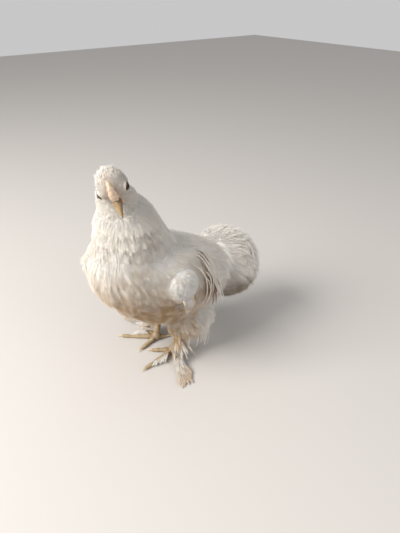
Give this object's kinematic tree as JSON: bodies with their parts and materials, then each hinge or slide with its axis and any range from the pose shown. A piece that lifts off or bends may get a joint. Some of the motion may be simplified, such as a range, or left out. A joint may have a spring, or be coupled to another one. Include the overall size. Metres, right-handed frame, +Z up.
{
  "type": "bantam hen figure",
  "caption": "Life-size still model of a cream bantam hen with feathered feet, standing with the body to one side and the head turned to look back at the viewer.",
  "frame": {"origin": "on the floor, under the middle of the whole bird's box", "axes": "+Z up, the trunk and tail point the breast along -Y, the bird's left side is +X; the head turns toward +X"},
  "size_m": [0.1744, 0.2442, 0.2682],
  "materials": {
    "plumage": "soft cream feathers",
    "flight": "cream flight and tail feathers",
    "flesh": "bare pink skin",
    "horn": "satin horn",
    "leg": "scaled skin",
    "eye": "wet gloss"
  },
  "bodies": {
    "root": {"beak_lower": "horn", "beak_upper": "horn", "claw_L_hind": "horn", "claw_L_inner": "horn", "claw_L_middle": "horn", "claw_L_outer": "horn", "claw_R_hind": "horn", "claw_R_inner": "horn", "claw_R_middle": "horn", "claw_R_outer": "horn", "comb": "flesh", "eye_L": "eye", "eye_R": "eye", "head": "plumage", "neck": "plumage", "shank_L": "leg", "shank_R": "leg", "tail": "flight", "thigh_L": "plumage", "thigh_R": "plumage", "toe_L_hind": "leg", "toe_L_inner": "leg", "toe_L_middle": "leg", "toe_L_outer": "leg", "toe_R_hind": "leg", "toe_R_inner": "leg", "toe_R_middle": "leg", "toe_R_outer": "leg", "torso": "plumage", "wattle_L": "flesh", "wattle_R": "flesh", "wing_L": "flight", "wing_R": "flight"}
  },
  "joints": []
}
